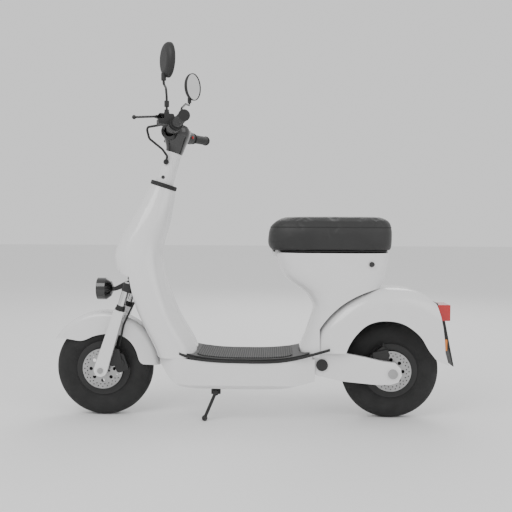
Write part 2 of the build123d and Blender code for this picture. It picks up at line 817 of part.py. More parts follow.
with BuildPart() as gasket:
    with BuildSketch(steer(gasket_low)):
        Circle(49)
        Circle(31, mode=Mode.SUBTRACT)
    extrude(amount=gasket_height)
    fillet(gasket.edges().filter_by(GeomType.CIRCLE).group_by(SortBy.LENGTH)[-1], 4)
gasket.part.label = "steering_gasket"
export_step(gasket.part, "parts/steering_gasket.step")

# ---------------------------------------------------------------- belly, deck, mat
hulls = []
for inset in (0, shell_wall):
    nose = 205 + inset
    low = inset / 2
    half = belly_half_width - inset
    with BuildPart() as hull:
        with BuildSketch(side):
            with BuildLine():
                Line((nose, 260), (nose, 232))
                Spline((nose, 232), (237 + inset, 186 + low), (281 + low, 141 + inset), (332, 125 + inset),
                       (400, 118 + inset), (571, 119 + inset))
                Line((571, 119 + inset), (deck_end - 78, 124 + inset))
                Line((deck_end - 78, 124 + inset), (belly_end, 150 + inset))
                Line((belly_end, 150 + inset), (belly_end, 260))
                Line((belly_end, 260), (nose, 260))
            make_face()
        extrude(amount=160, both=True)
        with BuildSketch(Plane(origin=at(0, 0, 80))):
            with BuildLine():
                for hand in (1, -1):
                    Spline((nose, 0), (nose + 7, hand * half * 0.6), (270, hand * (half + 1)), (340, hand * half),
                           tangents=((0, hand), (1, 0)))
                    Line((340, hand * half), (deck_end - 48, hand * half))
                    Line((deck_end - 48, hand * half), (belly_end, hand * (102 - inset)))
                Line((belly_end, 102 - inset), (belly_end, -102 + inset))
            make_face()
        extrude(amount=240, mode=Mode.INTERSECT)
        with BuildSketch(Plane(origin=at(0, 0, 0), x_dir=(0, 1, 0), z_dir=(1, 0, 0))) as cross:
            with Locations((0, 210)):
                Rectangle(2 * (belly_half_width + 8 - inset), 186 - 2 * inset)
            fillet(cross.vertices().group_by(Axis.Z)[0], 46 - inset)
        extrude(amount=belly_end + 100, mode=Mode.INTERSECT)
    hulls.append(hull.part)

with BuildPart() as belly:
    add(hulls[0])
    add(hulls[1], mode=Mode.SUBTRACT)
    # open top below the strip line
    with BuildSketch(side):
        with BuildLine():
            low = strip_line(strip_half)
            Polyline((150, 232 - side_gap), (310, 232 - side_gap))
            Spline((310, 232 - side_gap), *low[2:])
            Polyline(low[-1], (belly_end + 60, 300), (150, 300), (150, 232 - side_gap))
        make_face()
    extrude(amount=200, both=True, mode=Mode.SUBTRACT)
    add(wheel_well.part, mode=Mode.SUBTRACT)
    # the tower stands down inside the rear end
    with BuildSketch(Plane(origin=at(tower_start, 0, 230))):
        oval(-12, 240, 113, 3.4)
    extrude(amount=60, mode=Mode.SUBTRACT)
    # the stand bracket comes down through the floor
    block(at(stand_x, -60, 125), (36, 16, 30), mode=Mode.SUBTRACT)
belly.part.label = "belly_pan"
export_step(belly.part, "parts/belly_pan.step")

with BuildPart() as floorboard:
    with BuildSketch(side):
        with BuildLine():
            high = strip_line(-9)
            low = strip_line(-4)
            Spline((318, 250), *high[2:6])
            Line(high[5], low[5])
            Spline(*low[5:1:-1], (318, 244))
            Line((318, 244), (318, 250))
        make_face()
    extrude(amount=deck_half_width, both=True)
    # the neck and the tower stand through the ends of the board
    with BuildSketch(Plane(origin=at(0, 0, 200))):
        oval(205, 345 + side_gap, 128, 3.4)
    extrude(amount=100, mode=Mode.SUBTRACT)
    with BuildSketch(Plane(origin=at(tower_start, 0, 200))):
        oval(-12, 240, 113, 3.4)
    extrude(amount=100, mode=Mode.SUBTRACT)
floorboard.part.label = "floorboard"
export_step(floorboard.part, "parts/floorboard.step")

mat_start = 352.0
mat_end = deck_end - 40
with BuildPart() as floor_mat:
    with BuildSketch(side):
        with BuildLine():
            low = strip_line(-9)
            high = strip_line(-13)
            Spline((318, 250), *low[2:6])
            Line(low[5], high[5])
            Spline(*high[5:1:-1], (318, 254))
            Line((318, 254), (318, 250))
        make_face()
    extrude(amount=200, both=True)
    with BuildSketch(Plane(origin=at((mat_start + mat_end) / 2, 0, 150))):
        RectangleRounded(mat_end - mat_start, 2 * mat_half_width, 26)
    extrude(amount=200, mode=Mode.INTERSECT)
floor_mat.part.label = "floor_mat"
export_step(floor_mat.part, "parts/floor_mat.step")

# ---------------------------------------------------------------- frame
rail_spread = 58.0
rail_height = 192.0
tube_radius = 9.0
riser = wheelbase + pivot_back - 40
with BuildPart() as frame:
    rod(on_steer(0, 0, head_tube_low), on_steer(0, 0, head_tube_high), head_tube_radius)
    for hand in (-1, 1):
        y = hand * rail_spread
        # down tube, floor rail and the riser under the seat
        pipe(
            [
                on_steer(10, hand * 14, 460),
                at(244, hand * 40, 400),
                at(322, y, rail_height),
                at(riser - 22, y, rail_height),
                at(riser - 5, hand * 50, 262),
                at(riser + 48, hand * 50, 420),
                at(riser + 48, hand * 50, tower_top - 118),
            ],
            tube_radius,
            [60, 70, 45, 90, 60],
        )
        # arm from the rail to the swing arm pivot and the stay inside the rear fender
        rod(at(riser - 60, y, rail_height), Vector(*pivot_at) + Vector(0, y, 0), 9)
        pipe(
            [
                Vector(*pivot_at) + Vector(0, y, 0),
                behind(pivot_back + 22, y, 320),
                behind(-150, y, 410),
                behind(-20, y, 436),
            ],
            9,
            [60, 80],
        )
    for x in (360, riser - 60):
        rod(at(x, -rail_spread, rail_height), at(x, rail_spread, rail_height), 9)
    rod(behind(-40, -rail_spread - 9, 432), behind(-40, rail_spread + 9, 432), 7)
    ring(pivot_at, 0, 20, -arm_inner + side_gap, arm_inner - side_gap)
    # plates that carry the storage bin
    with BuildSketch(Plane(origin=at(riser + 48, 0, tower_top - 120))):
        RectangleRounded(120, 140, 12)
    extrude(amount=4)
    # stand bracket under the near rail
    block(at(stand_x, -rail_spread - 2, 139), (34, 14, 94))
    # shock's upper eye, in from the far stay
    rod(behind(-138, rail_spread, 412), behind(-138, shock_spread + 8, 412), 5)
    # battery tray between the rails
    block(at((riser + 300) / 2, 0, 136), (riser - 440, 90, 3))
    for x in (380, riser - 100):
        block(at(x, 0, 136), (16, 2 * rail_spread, 3))
        for hand in (-1, 1):
            block(at(x, hand * (rail_spread - 3), 162), (16, 6, 52))
    ring(pivot_at, 0, pivot_bolt_radius, -90, 90, mode=Mode.SUBTRACT)
    ring(at(stand_x, 0, stand_pivot_height), 0, stand_bolt_radius, -90, -40, mode=Mode.SUBTRACT)
    for low in (head_tube_low, head_tube_high - bearing_height):
        seat_end = on_steer(0, 0, low + bearing_height + 1)
        rod(on_steer(0, 0, low - 1), seat_end, bearing_radius, mode=Mode.SUBTRACT)
    head_tube_end = on_steer(0, 0, head_tube_high + 1)
    rod(on_steer(0, 0, head_tube_low - 1), head_tube_end, stem_radius + 3, mode=Mode.SUBTRACT)
frame.part.label = "frame_tubes"
export_step(frame.part, "parts/frame_tubes.step")

with BuildPart() as battery:
    with BuildSketch(Plane(origin=at((riser + 300) / 2, -4, 137.5))):
        RectangleRounded(riser - 450, 84, 8)
    extrude(amount=78)
    fillet(battery.edges().group_by(Axis.Z)[-1], 4)
battery.part.label = "battery_pack"
export_step(battery.part, "parts/battery_pack.step")

# ---------------------------------------------------------------- seat tower, storage bin, rear fender
tower_levels = (
    (236, 0, 240, 112, 3.4),
    (288, 0, 240, 111, 3.2),
    (328, 15, 246, 108, 3.0),
    (375, 31, 250, 103, 3.0),
    (407, 36, 254, 100, 3.0),
    (442, 22, 264, 99, 3.0),
    (469, -2, 276, 99, 3.0),
    (497, -41, 290, 100, 3.0),
    (528, -72, 301, 102, 3.0),
    (567, -90, 309, 104, 3.0),
    (tower_top, -96, 315, 106, 3.0),
)


def under_crown(grow):
    # everything inside the rear fender's crown, seen from the side
    with Locations((0, drawn_axle_height)):
        Circle(fender_crown + grow)


with BuildPart() as tower:
    for inset, mode in ((0, Mode.ADD), (shell_wall, Mode.SUBTRACT)):
        for height, front, rear, half, power in tower_levels:
            with BuildSketch(Plane(origin=at(tower_start, 0, height))):
                oval(front + inset, rear - inset, half - inset, power)
        loft(mode=mode)
    with BuildSketch(rear_side):
        under_crown(side_gap)
        with Locations((fender_front - side_gap - 100, drawn_axle_height)):
            Rectangle(200, 400, mode=Mode.SUBTRACT)
    extrude(amount=200, both=True, mode=Mode.SUBTRACT)
    # the lock's hole and the ears of the seat hinge
    lock_at = at(tower_start + 240, -94, tower_top - 39)
    ring(lock_at, 0, 8 + running_gap, -130, -60, mode=Mode.SUBTRACT)
    hinge_at = at(tower_start - 106, 0, tower_top + 5)
    for hand in (-1, 1):
        block((hinge_at[0] + 4, hand * 26, hinge_at[2] - 8), (22, 6, 22))
    ring(hinge_at, 0, 4, -40, 40, mode=Mode.SUBTRACT)
tower.part.label = "seat_tower"
export_step(tower.part, "parts/seat_tower.step")

with BuildPart() as storage_bin:
    for inset, mode in ((0, Mode.ADD), (2.5, Mode.SUBTRACT)):
        floor_level = tower_top - 116 + inset
        with BuildSketch(Plane(origin=at(tower_start, 0, floor_level))):
            oval(2 + inset, 268 - inset, 84 - inset, 3.0)
        with BuildSketch(Plane(origin=at(tower_start, 0, tower_top - 10))):
            oval(-84 + inset, 304 - inset, 96 - inset, 3.0)
        with BuildSketch(Plane(origin=at(tower_start, 0, tower_top))):
            oval(-90 + inset, 309 - inset, 99 - inset, 3.0)
        loft(mode=mode)
storage_bin.part.label = "storage_bin"
export_step(storage_bin.part, "parts/storage_bin.step")

with BuildPart() as rear_fender:
    for inset, radius, mode in ((0, 60, Mode.ADD), (shell_wall, 57, Mode.SUBTRACT)):
        with BuildSketch(wheel_plane(rear_axle_at)) as section:
            with Locations(((fender_crown - inset) / 2, 0)):
                Rectangle(fender_crown - inset, 2 * (fender_half_width - inset))
            fillet(section.vertices().sort_by(Axis.X)[-2:], radius)
        revolve(axis=Axis(rear_axle_at, (0, 1, 0)), mode=mode)
    # outline seen from the side, with the wheel arch
    with BuildSketch(rear_side):
        with BuildLine():
            Polyline((-224, 252), (fender_front, 252), (fender_front, 560), (60, 560), (98, 472), (130, 447),
                     (153, 427), (164, 385), (172, 345), (177, 306), (180, 259), (193, 213))
            Spline((193, 213), (172, 222), (154, 229), (138, 246), (124, 264), (99, 306), (68, 337), (26, 361),
                   (-16, 369), (-58, 367), (-96, 353), (-126, 327), (-152, 292), (-169, 252))
            Line((-169, 252), (-224, 252))
        make_face()
    extrude(amount=160, both=True, mode=Mode.INTERSECT)
rear_fender.part.label = "rear_fender"
export_step(rear_fender.part, "parts/rear_fender.step")

# ---------------------------------------------------------------- tail
with BuildPart() as tail_bracket:
    with BuildSketch(rear_side):
        with BuildLine():
            Polyline((146, 372), (150, 426), (168, 426), (168, 362.5), (194, 362.5), (214, 264),
                     (tail_overhang, 197), (tail_overhang - 4, 197), (208, 260), (196, 258), (172, 340),
                     (160, 358), close=True)
        make_face()
    extrude(amount=44, both=True)
    add(rear_fender.part, mode=Mode.SUBTRACT)
tail_bracket.part.label = "tail_bracket"
export_step(tail_bracket.part, "parts/tail_bracket.step")

with BuildPart() as rear_lenses:
    with BuildSketch(rear_side):
        with Locations((190, 392)):
            RectangleRounded(44, 58, 3)
    extrude(amount=46, both=True)
    for hand in (-1, 1):
        edges = sorted((hand * 44, hand * 54))
        with BuildSketch(Plane(origin=behind(190, edges[0], 276), x_dir=(1, 0, 0), z_dir=(0, 1, 0))):
            RectangleRounded(22, 42, 3)
        extrude(amount=10)
rear_lenses.part.label = "rear_lenses"
export_step(rear_lenses.part, "parts/rear_lenses.step")

# ---------------------------------------------------------------- swing arm and rear axle
shock_low = behind(-150, shock_spread, 264)
with BuildPart() as swing_arm:
    for hand in (-1, 1):
        inner = min(hand * arm_inner, hand * arm_outer)
        with BuildSketch(Plane(origin=behind(0, inner, 0), x_dir=(1, 0, 0), z_dir=(0, 1, 0))):
            # heights run down on this plane
            with BuildLine():
                Polyline((pivot_back, -250), (-223, -252), (-166, -250), (-100, -237), (-38, -223), (8, -217),
                         (28, -196), (32, -172), (20, -148), (-6, -139), (-60, -138), (-176, -149), (pivot_back, -166),
                         close=True)
            make_face()
            with Locations((pivot_back, -pivot_height)):
                Circle(42)
        extrude(amount=arm_outer - arm_inner)
    rod(behind(-208, -arm_inner - 1, 205), behind(-208, arm_inner + 1, 205), 10)
    # lug for the shock on the far arm
    ring(shock_low, 0, 10, arm_inner, shock_spread - 6.3)
    block((shock_low[0], (arm_inner + shock_spread - 6.3) / 2, shock_low[2] - 14),
          (20, shock_spread - 6.3 - arm_inner, 28))
    ring(shock_low, 0, 5, arm_inner, shock_spread + 8)
    ring(pivot_at, 0, pivot_bolt_radius + running_gap, -arm_outer, arm_outer, mode=Mode.SUBTRACT)
    ring(rear_axle_at, 0, axle_radius, -arm_outer, arm_outer, mode=Mode.SUBTRACT)
swing_arm.part.label = "swing_arm"
export_step(swing_arm.part, "parts/swing_arm.step")

with BuildPart() as rear_axle:
    ring(rear_axle_at, 0, axle_radius, -arm_outer - cap_thickness, arm_outer + cap_thickness)
    ring(rear_axle_at, 0, 58, -18, 18)
    for hand in (-1, 1):
        edges = sorted((hand * arm_outer, hand * (arm_outer + cap_thickness)))
        ring(rear_axle_at, 0, 17, edges[0], edges[1])
        hub_end = disc_face + disc_thickness if hand < 0 else disc_face - 2
        edges = sorted((hand * (hub_end + side_gap), hand * arm_inner))
        ring(rear_axle_at, 0, 10, edges[0], edges[1])
rear_axle.part.label = "rear_axle"
export_step(rear_axle.part, "parts/rear_axle.step")

with BuildPart() as rear_caliper:
    brake_caliper(rear_axle_at, 126)
    with BuildSketch(Plane(origin=behind(0, -arm_inner, 0), x_dir=(1, 0, 0), z_dir=(0, 1, 0))):
        with BuildLine():
            Polyline((-66, -214), (-10, -206), (-14, -262), (-70, -250), close=True)
        make_face()
    extrude(amount=9)
    # bleed nipple
    rod(behind(-30, -58, 262), behind(-30, -58, 282), 3.5)
rear_caliper.part.label = "rear_caliper"
export_step(rear_caliper.part, "parts/rear_caliper.step")

# ---------------------------------------------------------------- shock absorber
shock_high = Vector(*behind(-138, shock_spread, 412))
shock_line = Vector(*shock_low) - shock_high
shock_length = shock_line.length
shock_dir = shock_line / shock_length
with BuildPart() as shock_body:
    rod(shock_high + Vector(0, -6, 0), shock_high + Vector(0, 6, 0), 10)
    rod(shock_high + shock_dir * 6, shock_high + shock_dir * 84, 8)
    rod(shock_high + shock_dir * 20, shock_high + shock_dir * 25, 15)
    rod(shock_high + shock_dir * 36, shock_high + shock_dir * 90, 5 + running_gap, mode=Mode.SUBTRACT)
    rod(shock_high + Vector(0, -12, 0), shock_high + Vector(0, 12, 0), 5 + running_gap, mode=Mode.SUBTRACT)
shock_body.part.label = "shock_body"
export_step(shock_body.part, "parts/shock_body.step")

with BuildPart() as shock_rod:
    rod(shock_high + shock_dir * 52, shock_high + shock_dir * (shock_length - 8), 5)
    rod(shock_high + shock_dir * (shock_length - 26), shock_high + shock_dir * (shock_length - 21), 15)
    rod(Vector(*shock_low) + Vector(0, -6, 0), Vector(*shock_low) + Vector(0, 6, 0), 10)
    rod(Vector(*shock_low) + Vector(0, -12, 0), Vector(*shock_low) + Vector(0, 12, 0), 6.5, mode=Mode.SUBTRACT)
shock_rod.part.label = "shock_rod"
export_step(shock_rod.part, "parts/shock_rod.step")

spring_turns = 7
wire_radius = 2.4
spring_start = 25 + wire_radius + side_gap
spring_end = shock_length - 26 - wire_radius - side_gap
with BuildPart() as shock_spring:
    with BuildLine() as coil:
        Helix(pitch=(spring_end - spring_start) / spring_turns, height=spring_end - spring_start, radius=12,
              center=shock_high + shock_dir * spring_start, direction=shock_dir)
    with BuildSketch(Plane(origin=coil.line @ 0, z_dir=coil.line % 0)):
        Circle(wire_radius)
    sweep(path=coil.line, is_frenet=True)
shock_spring.part.label = "shock_spring"
export_step(shock_spring.part, "parts/shock_spring.step")

# ---------------------------------------------------------------- side stand
stand_pivot = Vector(*at(stand_x, -67.3, stand_pivot_height))
foot_radius = 10.5
with BuildPart() as side_stand:
    rod(stand_pivot, stand_pivot + Vector(0, -12, 0), 12)
    foot = Vector(front_axle_x + 379, -86, foot_radius - 1.5)
    rod(stand_pivot + Vector(0, -6, 0), foot, 6)
    with Locations(foot):
        Sphere(foot_radius)
    block((foot.X, foot.Y, -20), (60, 60, 40), mode=Mode.SUBTRACT)
    rod(stand_pivot + Vector(0, 1, 0), stand_pivot + Vector(0, -13, 0), stand_bolt_radius + running_gap,
        mode=Mode.SUBTRACT)
side_stand.part.label = "side_stand"
export_step(side_stand.part, "parts/side_stand.step")

# ---------------------------------------------------------------- saddle
saddle_levels = (
    (3, -122, 327, 108),
    (26, -138, 328, 116),
    (74, -131, 327, 115),
    (104, -112, 322, 106),
    (120, -80, 312, 92),
    (126, -20, 290, 70),
)
pan_level = tower_top + 4
with BuildPart() as saddle:
    for height, front, rear, half in saddle_levels:
        with BuildSketch(Plane(origin=at(tower_start, 0, tower_top + height))):
            oval(front, rear, half, 3.4)
    loft()
    # pocket for the pan and the hinge
    with BuildSketch(Plane(origin=at(tower_start, 0, tower_top))):
        oval(-94, 315, 100, 3.0)
    extrude(amount=8, mode=Mode.SUBTRACT)
    with BuildSketch(Plane(origin=at(tower_start - 102, 0, tower_top - 5))):
        RectangleRounded(46, 74, 4)
    extrude(amount=26, mode=Mode.SUBTRACT)
saddle.part.label = "saddle"
export_step(saddle.part, "parts/saddle.step")

with BuildPart() as seat_pan:
    with BuildSketch(Plane(origin=at(tower_start, 0, pan_level))):
        oval(-88, 310, 96, 3.0)
    extrude(amount=3.7)
    ring(hinge_at, 0, 8, -22, 22)
    block((hinge_at[0] + 14, 0, lift + pan_level + 1.85), (28, 40, 3.7))
    ring(hinge_at, 0, 4 + running_gap, -30, 30, mode=Mode.SUBTRACT)
seat_pan.part.label = "seat_pan"
export_step(seat_pan.part, "parts/seat_pan.step")

with BuildPart() as seat_lock:
    ring(lock_at, 0, 9.5, lock_at[1] - 6, lock_at[1] - 3)
    ring(lock_at, 0, 8, lock_at[1] - 4, lock_at[1] + 8)
    block((lock_at[0], lock_at[1] + 9, lock_at[2] - 4), (9, 3, 20))
seat_lock.part.label = "seat_lock"
export_step(seat_lock.part, "parts/seat_lock.step")

# ---------------------------------------------------------------- bolts and pins
with BuildPart() as bolts:
    ring(pivot_at, 0, pivot_bolt_radius, -arm_outer - side_gap, arm_outer + side_gap)
    for hand in (-1, 1):
        edges = sorted((hand * (arm_outer + side_gap), hand * (arm_outer + side_gap + cap_thickness)))
        ring(pivot_at, 0, 21, edges[0], edges[1])
    ring(at(stand_x, 0, stand_pivot_height), 0, stand_bolt_radius, -82.5, -50)
    ring(at(stand_x, 0, stand_pivot_height), 0, 9, -86.5, -82.5)
    ring(hinge_at, 0, 4, -30, 30)
bolts.part.label = "bolts_and_pins"
export_step(bolts.part, "parts/bolts_and_pins.step")
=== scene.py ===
import json
from math import cos, pi, radians, sin

import bmesh
import bpy
from mathutils import Matrix, Vector


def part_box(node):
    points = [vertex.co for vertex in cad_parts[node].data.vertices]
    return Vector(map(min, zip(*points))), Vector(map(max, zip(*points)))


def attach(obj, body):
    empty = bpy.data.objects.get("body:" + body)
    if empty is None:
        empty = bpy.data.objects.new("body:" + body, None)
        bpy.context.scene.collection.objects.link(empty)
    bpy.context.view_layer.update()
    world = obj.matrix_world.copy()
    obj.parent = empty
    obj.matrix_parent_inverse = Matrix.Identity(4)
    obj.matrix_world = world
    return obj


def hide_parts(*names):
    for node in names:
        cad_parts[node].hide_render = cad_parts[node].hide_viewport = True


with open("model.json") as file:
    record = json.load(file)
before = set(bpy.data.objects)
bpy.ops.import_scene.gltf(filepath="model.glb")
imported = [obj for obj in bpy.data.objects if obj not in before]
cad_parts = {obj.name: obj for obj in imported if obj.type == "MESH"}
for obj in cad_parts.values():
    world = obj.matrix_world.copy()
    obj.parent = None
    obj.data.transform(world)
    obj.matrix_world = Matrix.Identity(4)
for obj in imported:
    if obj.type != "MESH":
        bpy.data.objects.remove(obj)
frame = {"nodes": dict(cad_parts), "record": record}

nodes = frame["nodes"]
record = frame["record"]
joints = {j["name"]: j for j in record["behaviour"]["joints"]}
slotOf = {p["node"]: p["material_slot"] for p in record["subparts"]}
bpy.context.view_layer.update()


# shader maths and nodes
class Sock:
    # one socket, so that shader maths reads as plain sums
    def __init__(self, mat, link):
        self.mat = mat
        self.link = link

    def __add__(self, other):
        return self.mat.sum("ADD", self, other)

    def __radd__(self, other):
        return self.mat.sum("ADD", other, self)

    def __sub__(self, other):
        return self.mat.sum("SUBTRACT", self, other)

    def __rsub__(self, other):
        return self.mat.sum("SUBTRACT", other, self)

    def __mul__(self, other):
        return self.mat.sum("MULTIPLY", self, other)

    def __rmul__(self, other):
        return self.mat.sum("MULTIPLY", other, self)


class Shader:
    def __init__(self, name, **fixed):
        self.mat = bpy.data.materials.new(name)
        self.mat.use_nodes = True
        self.nodes = self.mat.node_tree.nodes
        self.links = self.mat.node_tree.links
        self.bsdf = self.nodes["Principled BSDF"]
        for key, value in fixed.items():
            self.set(key, value)
        self.place = self.node("ShaderNodeTexCoord", out="Object")

    def node(self, kind, settings=None, inputs=None, out=0):
        # any node: settings first, then the values or links of its sockets
        n = self.nodes.new(kind)
        for key, value in (settings or {}).items():
            if key == "stops":
                for i, (where, colour) in enumerate(value):
                    stop = n.color_ramp.elements[i] if i < 2 else n.color_ramp.elements.new(where)
                    stop.position = where
                    stop.color = colour
            else:
                setattr(n, key, value)
        for key, value in (inputs or {}).items():
            if value is None:
                continue
            if isinstance(value, Sock):
                self.links.new(value.link, n.inputs[key])
            else:
                n.inputs[key].default_value = value
        return Sock(self, n.outputs[out])

    def sum(self, kind, a, b=None):
        return self.node("ShaderNodeMath", {"operation": kind}, {0: a, 1: b})

    def set(self, key, value):
        socket = self.bsdf.inputs[key]
        if isinstance(value, Sock):
            self.links.new(value.link, socket)
        else:
            socket.default_value = value

    def noise(self, scale, detail=2.0, rough=0.5, stretch=None):
        place = self.place
        if stretch:
            place = self.node("ShaderNodeMapping", None, {"Vector": place, "Scale": stretch})
        return self.node("ShaderNodeTexNoise", None, {"Vector": place, "Scale": scale, "Detail": detail,
                                                      "Roughness": rough})

    def cells(self, scale, out="Distance"):
        return self.node("ShaderNodeTexVoronoi", None, {"Vector": self.place, "Scale": scale}, out=out)

    def blend(self, factor, a, b):
        return self.node("ShaderNodeMix", {"data_type": "RGBA"}, {0: factor, 6: a, 7: b}, out=2)

    def bump(self, height, strength, depth):
        return self.node("ShaderNodeBump", None, {"Height": height, "Strength": strength, "Distance": depth})


def shade(grey, tint=(1.0, 1.0, 1.0)):
    return (grey * tint[0], grey * tint[1], grey * tint[2], 1.0)


def clearPaint(name, base, dust, rough, coat, flake=0.0):
    # glossy paint: faint dust in random patches and a trace of orange peel
    m = Shader(name, **{"Coat Weight": coat, "Coat Roughness": 0.06, "IOR": 1.5})
    wear = m.noise(9.0, 4.0, 0.6)
    m.set("Base Color", m.blend(wear * 0.5, base, dust))
    m.set("Roughness", rough + wear * 0.12)
    m.set("Normal", m.bump(m.noise(260.0, 1.0), 0.04, 0.0004))
    return m.mat


def grained(name, base, lift, rough, scale, depth, strength=0.35):
    # moulded plastic or rubber with a fine cell grain
    m = Shader(name, **{"Specular IOR Level": 0.4})
    grain = m.cells(scale)
    wear = m.noise(14.0, 4.0, 0.6)
    m.set("Base Color", m.blend(wear * 0.7, base, lift))
    m.set("Roughness", rough + wear * 0.15)
    m.set("Normal", m.bump(grain, strength, depth))
    return m.mat


def brushed(name, base, dark, rough, stretch, metal=1.0):
    m = Shader(name, Metallic=metal)
    lines = m.noise(40.0, 3.0, 0.6, stretch)
    m.set("Base Color", m.blend(lines, dark, base))
    m.set("Roughness", rough + lines * 0.15)
    m.set("Normal", m.bump(lines, 0.08, 0.0003))
    return m.mat


def lamps(name, split):
    # red above, amber below: the tail lamp and the side reflectors share one node
    m = Shader(name, **{"Coat Weight": 0.8, "Coat Roughness": 0.05, "Roughness": 0.25})
    axes = m.node("ShaderNodeSeparateXYZ", None, {0: m.place}, out="Z")
    above = m.sum("GREATER_THAN", axes, split)
    ribs = m.sum("SINE", axes * 900.0)
    m.set("Base Color", m.blend(above, (0.75, 0.22, 0.01, 1), (0.5, 0.006, 0.008, 1)))
    m.set("Normal", m.bump(ribs, 0.25, 0.0008))
    return m.mat


def ribbed(name, base, lift, pitch):
    # foot mat: ribs across the board, with painted shade in the grooves and painted light on the rib tops
    m = Shader(name, Roughness=0.8)
    axes = m.node("ShaderNodeSeparateXYZ", None, {0: m.place}, out="X")
    ribs = m.sum("SINE", axes * (2 * pi / pitch)) * 0.5 + 0.5
    # painted shade: the colour follows the rib relief, dark in the grooves and light on the tops
    m.set("Base Color", m.blend(ribs, base, lift))
    m.set("Roughness", 0.7 + m.noise(60.0) * 0.2)
    m.set("Normal", m.bump(ribs, 0.8, 0.0012))
    return m.mat


def treaded(name, centre, look):
    # tyre: chevron grooves round the running band, fine rings on the walls
    m = Shader(name, **{"Specular IOR Level": 0.35})
    at = m.node("ShaderNodeVectorMath", {"operation": "SUBTRACT"}, {0: m.place, 1: centre})
    x = m.node("ShaderNodeSeparateXYZ", None, {0: at}, out="X")
    y = m.node("ShaderNodeSeparateXYZ", None, {0: at}, out="Y")
    z = m.node("ShaderNodeSeparateXYZ", None, {0: at}, out="Z")
    turn = m.sum("ARCTAN2", x, z)
    away = m.sum("SQRT", x * x + z * z)
    across = m.sum("ABSOLUTE", y)
    wave = m.sum("SINE", turn * look["blocks"] + across * look["slant"])
    groove = m.sum("GREATER_THAN", wave, look["width"])
    centreLine = m.sum("LESS_THAN", m.sum("ABSOLUTE", across - look["line"]), 0.0016)
    band = m.sum("GREATER_THAN", away, look["bandStart"])
    cut = m.sum("MAXIMUM", groove * m.sum("GREATER_THAN", across, look["line"]), centreLine) * band
    rings = m.sum("SINE", away * 1500.0) * (1 - band) * 0.12
    m.set("Base Color", m.blend(m.noise(20.0, 4.0), shade(0.012), shade(0.03)))
    m.set("Roughness", 0.62 + m.noise(30.0) * 0.25)
    m.set("Normal", m.bump((1 - cut) + rings, 0.9, 0.003))
    return m.mat


def leather(name):
    m = Shader(name, **{"Specular IOR Level": 0.45, "Sheen Weight": 0.05})
    creases = m.cells(520.0)
    soft = m.noise(7.0, 3.0)
    m.set("Base Color", m.blend(soft, shade(0.012), shade(0.028)))
    m.set("Roughness", 0.42 + soft * 0.2)
    m.set("Normal", m.bump(creases + m.noise(90.0, 3.0) * 0.6, 0.3, 0.0006))
    return m.mat


def clear(name, tint, rough, alpha):
    m = Shader(name, **{"Coat Weight": 0.6, "Coat Roughness": 0.03, "Alpha": alpha})
    m.set("Base Color", m.blend(m.noise(12.0), tint, shade(0.7)))
    m.set("Roughness", rough + m.noise(20.0) * 0.04)
    return m.mat


def mirrorGlass(name):
    m = Shader(name, Metallic=1.0)
    haze = m.noise(18.0)
    m.set("Base Color", m.blend(haze, shade(0.82), shade(0.72)))
    m.set("Roughness", 0.03 + haze * 0.05)
    return m.mat


whitePaint = clearPaint("white paint", shade(0.78, (1, 1, 1.01)), shade(0.7, (1, 0.99, 0.97)), 0.16, 0.8)
finishes = {
    "white_shell": whitePaint,
    "black_plastic": grained("black plastic", shade(0.016), shade(0.03), 0.45, 900.0, 0.0003),
    "gloss_black": clearPaint("gloss black", shade(0.008), shade(0.02), 0.12, 0.7),
    "grey_plastic": grained("grey plastic", shade(0.14), shade(0.2), 0.5, 900.0, 0.0003),
    "red_plastic": grained("red buttons", (0.45, 0.01, 0.01, 1), (0.3, 0.01, 0.01, 1), 0.35, 900.0, 0.0002),
    "black_metal": grained("black paint", shade(0.014), shade(0.026), 0.3, 1500.0, 0.0001, 0.15),
    "steel": brushed("steel", shade(0.5), shade(0.3), 0.24, (1.0, 12.0, 1.0)),
    "white_metal": whitePaint,
    "chrome": brushed("chrome", shade(0.78), shade(0.66), 0.06, (4.0, 4.0, 1.0)),
    "spring_steel": grained("spring paint", shade(0.03), shade(0.05), 0.35, 900.0, 0.0001),
    "rubber": grained("rubber", shade(0.014), shade(0.03), 0.6, 700.0, 0.0005),
    "leather": leather("saddle leather"),
    "glass": clear("lamp glass", shade(0.9), 0.05, 0.35),
    "mirror": mirrorGlass("mirror"),
    "red_lens": lamps("tail lenses", 0.33),
}
frontCentre = joints["front_wheel_spin"]["pos_m"]
rearCentre = joints["rear_wheel_spin"]["pos_m"]
treadLook = {"blocks": 52.0, "slant": 160.0, "width": 0.35, "line": 0.009, "bandStart": 0.157}
ownFinish = {
    "front_tyre": treaded("front tread", frontCentre, treadLook),
    "rear_tyre": treaded("rear tread", rearCentre, treadLook),
    # the foot mat's second tone is painted light on the rib tops, the first painted shade in the grooves
    "floor_mat": ribbed("foot mat", shade(0.03), shade(0.09), 0.008),
    "fork_legs": whitePaint,
    "swing_arm": whitePaint,
    "ignition_switch": finishes["gloss_black"],
    "seat_lock": finishes["gloss_black"],
    "bolts_and_pins": finishes["black_metal"],
}
for name, node in nodes.items():
    finish = ownFinish.get(name) or finishes.get(slotOf[name]) or whitePaint
    if not node.data.materials:
        node.data.materials.append(finish)
    for i in range(len(node.data.materials)):
        node.data.materials[i] = finish
print("finishes set on", len(nodes), "nodes")


# mesh helpers
def pieceFrom(name, verts, faces, finish, body, smooth=True):
    mesh = bpy.data.meshes.new(name)
    mesh.from_pydata(verts, [], faces)
    mesh.materials.append(finish)
    obj = bpy.data.objects.new(name, mesh)
    bpy.context.scene.collection.objects.link(obj)
    bm = bmesh.new()
    bm.from_mesh(mesh)
    bmesh.ops.remove_doubles(bm, verts=bm.verts, dist=1e-6)
    bmesh.ops.recalc_face_normals(bm, faces=bm.faces)
    bm.to_mesh(mesh)
    bm.free()
    if smooth:
        mesh.shade_smooth()
    if body:
        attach(obj, body)
    return obj


